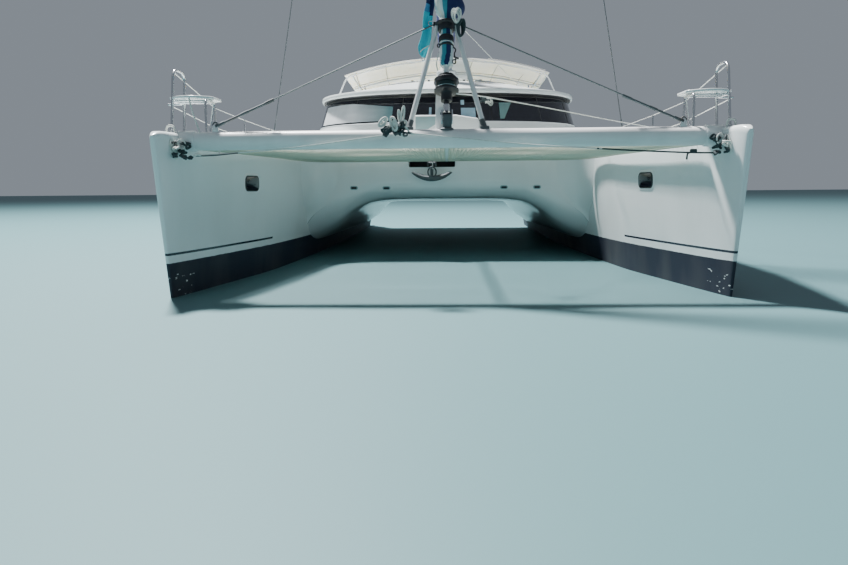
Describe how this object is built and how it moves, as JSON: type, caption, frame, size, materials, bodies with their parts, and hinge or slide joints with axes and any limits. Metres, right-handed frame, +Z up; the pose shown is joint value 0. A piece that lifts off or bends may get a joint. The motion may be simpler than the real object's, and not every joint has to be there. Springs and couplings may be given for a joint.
{
  "type": "sailing catamaran",
  "caption": "Cruising sailing catamaran at anchor: slim hulls, crossbeam with striker, deck saloon, furled jib, stowed mainsail and bimini.",
  "frame": {"origin": "on the waterline, at mid-length on the centreline between the hulls", "axes": "+X to port, +Y aft, +Z up"},
  "size_m": [7.1, 13.1, 21.3],
  "materials": {
    "gelcoat": "gloss",
    "antifouling": "matte",
    "tinted_glass": "gloss",
    "stainless": "polished",
    "alloy": "anodised",
    "white_spar": "satin",
    "black_plastic": "satin",
    "cream_canvas": "matte",
    "navy_canvas": "matte",
    "sailcloth": "matte",
    "net": "matte",
    "galvanised": "rough",
    "bronze": "satin",
    "engine_paint": "satin",
    "upholstery": "matte"
  },
  "bodies": {
    "boat": {"anchor": "galvanised", "bench_cushions": "upholstery", "bimini_canopy": "cream_canvas", "bimini_frame": "stainless", "bridgedeck": "gelcoat", "cabin_roof": "gelcoat", "cabin_walls": "gelcoat", "cabin_windows": "tinted_glass", "cockpit_bench": "gelcoat", "cockpit_table": "white_spar", "crossbeam": "white_spar", "engine_port": "engine_paint", "engine_starboard": "engine_paint", "guardrail_port": "stainless", "guardrail_starboard": "stainless", "helm_seat": "upholstery", "helm_station": "gelcoat", "hull_port": "gelcoat", "hull_starboard": "gelcoat", "keel_port": "antifouling", "keel_starboard": "antifouling", "mast": "white_spar", "pulpit_port": "stainless", "pulpit_seat_port": "white_spar", "pulpit_seat_starboard": "white_spar", "pulpit_starboard": "stainless", "saildrive_port": "alloy", "saildrive_starboard": "alloy", "shroud_port": "stainless", "shroud_starboard": "stainless", "striker": "alloy", "trampoline_port": "net", "trampoline_starboard": "net"},
    "boom": {"boom": "white_spar", "sail_bag": "navy_canvas"},
    "jib_furler": {"furler": "black_plastic", "jib": "sailcloth"},
    "wheel": {"wheel": "stainless"},
    "door": {"saloon_door": "tinted_glass"},
    "rudder_starboard": {"rudder_starboard": "antifouling"},
    "propeller_starboard": {"propeller_starboard": "bronze"},
    "forepeak_lid_starboard": {"forepeak_hatch_starboard": "gelcoat"},
    "engine_lid_starboard": {"engine_hatch_starboard": "gelcoat"},
    "rudder_port": {"rudder_port": "antifouling"},
    "propeller_port": {"propeller_port": "bronze"},
    "forepeak_lid_port": {"forepeak_hatch_port": "gelcoat"},
    "engine_lid_port": {"engine_hatch_port": "gelcoat"}
  },
  "joints": [
    {"name": "boom_swing", "type": "hinge", "parent": "boat", "child": "boom", "pos_m": [0, -0.72, 4.22], "axis": [0, 0, 1], "range_deg": [-65, 65]},
    {"name": "jib_furl", "type": "hinge", "parent": "boat", "child": "jib_furler", "pos_m": [0, -6.12, 1.652], "axis": [0, 0.2861, 0.9582], "continuous": true},
    {"name": "wheel_turn", "type": "hinge", "parent": "boat", "child": "wheel", "pos_m": [-1.85, 2.77, 2.47], "axis": [0, 1, 0], "range_deg": [-350, 350]},
    {"name": "door_slide", "type": "slide", "parent": "boat", "child": "door", "axis": [-1, 0, 0], "range_m": [0, 0.86]},
    {"name": "rudder_starboard_turn", "type": "hinge", "parent": "boat", "child": "rudder_starboard", "pos_m": [-2.775, 5.45, -0.7], "axis": [0, 0, 1], "range_deg": [-35, 35]},
    {"name": "propeller_starboard_spin", "type": "hinge", "parent": "boat", "child": "propeller_starboard", "pos_m": [-2.775, 4.636, -0.85], "axis": [0, 1, 0], "continuous": true},
    {"name": "forepeak_lid_starboard_open", "type": "hinge", "parent": "boat", "child": "forepeak_lid_starboard", "pos_m": [-2.775, -4.74, 1.6554], "axis": [-1, 0, 0], "range_deg": [-95, 0]},
    {"name": "engine_lid_starboard_open", "type": "hinge", "parent": "boat", "child": "engine_lid_starboard", "pos_m": [-2.775, 3.71, 1.6554], "axis": [-1, 0, 0], "range_deg": [-85, 0]},
    {"name": "rudder_port_turn", "type": "hinge", "parent": "boat", "child": "rudder_port", "pos_m": [2.775, 5.45, -0.7], "axis": [0, 0, 1], "range_deg": [-35, 35]},
    {"name": "propeller_port_spin", "type": "hinge", "parent": "boat", "child": "propeller_port", "pos_m": [2.775, 4.636, -0.85], "axis": [0, 1, 0], "continuous": true},
    {"name": "forepeak_lid_port_open", "type": "hinge", "parent": "boat", "child": "forepeak_lid_port", "pos_m": [2.775, -4.74, 1.6554], "axis": [-1, 0, 0], "range_deg": [-95, 0]},
    {"name": "engine_lid_port_open", "type": "hinge", "parent": "boat", "child": "engine_lid_port", "pos_m": [2.775, 3.71, 1.6554], "axis": [-1, 0, 0], "range_deg": [-85, 0]}
  ],
  "couplings": [
    {"joint": "rudder_port_turn", "follows": "rudder_starboard_turn", "ratio": 1},
    {"joint": "wheel_turn", "follows": "rudder_starboard_turn", "ratio": 10}
  ]
}
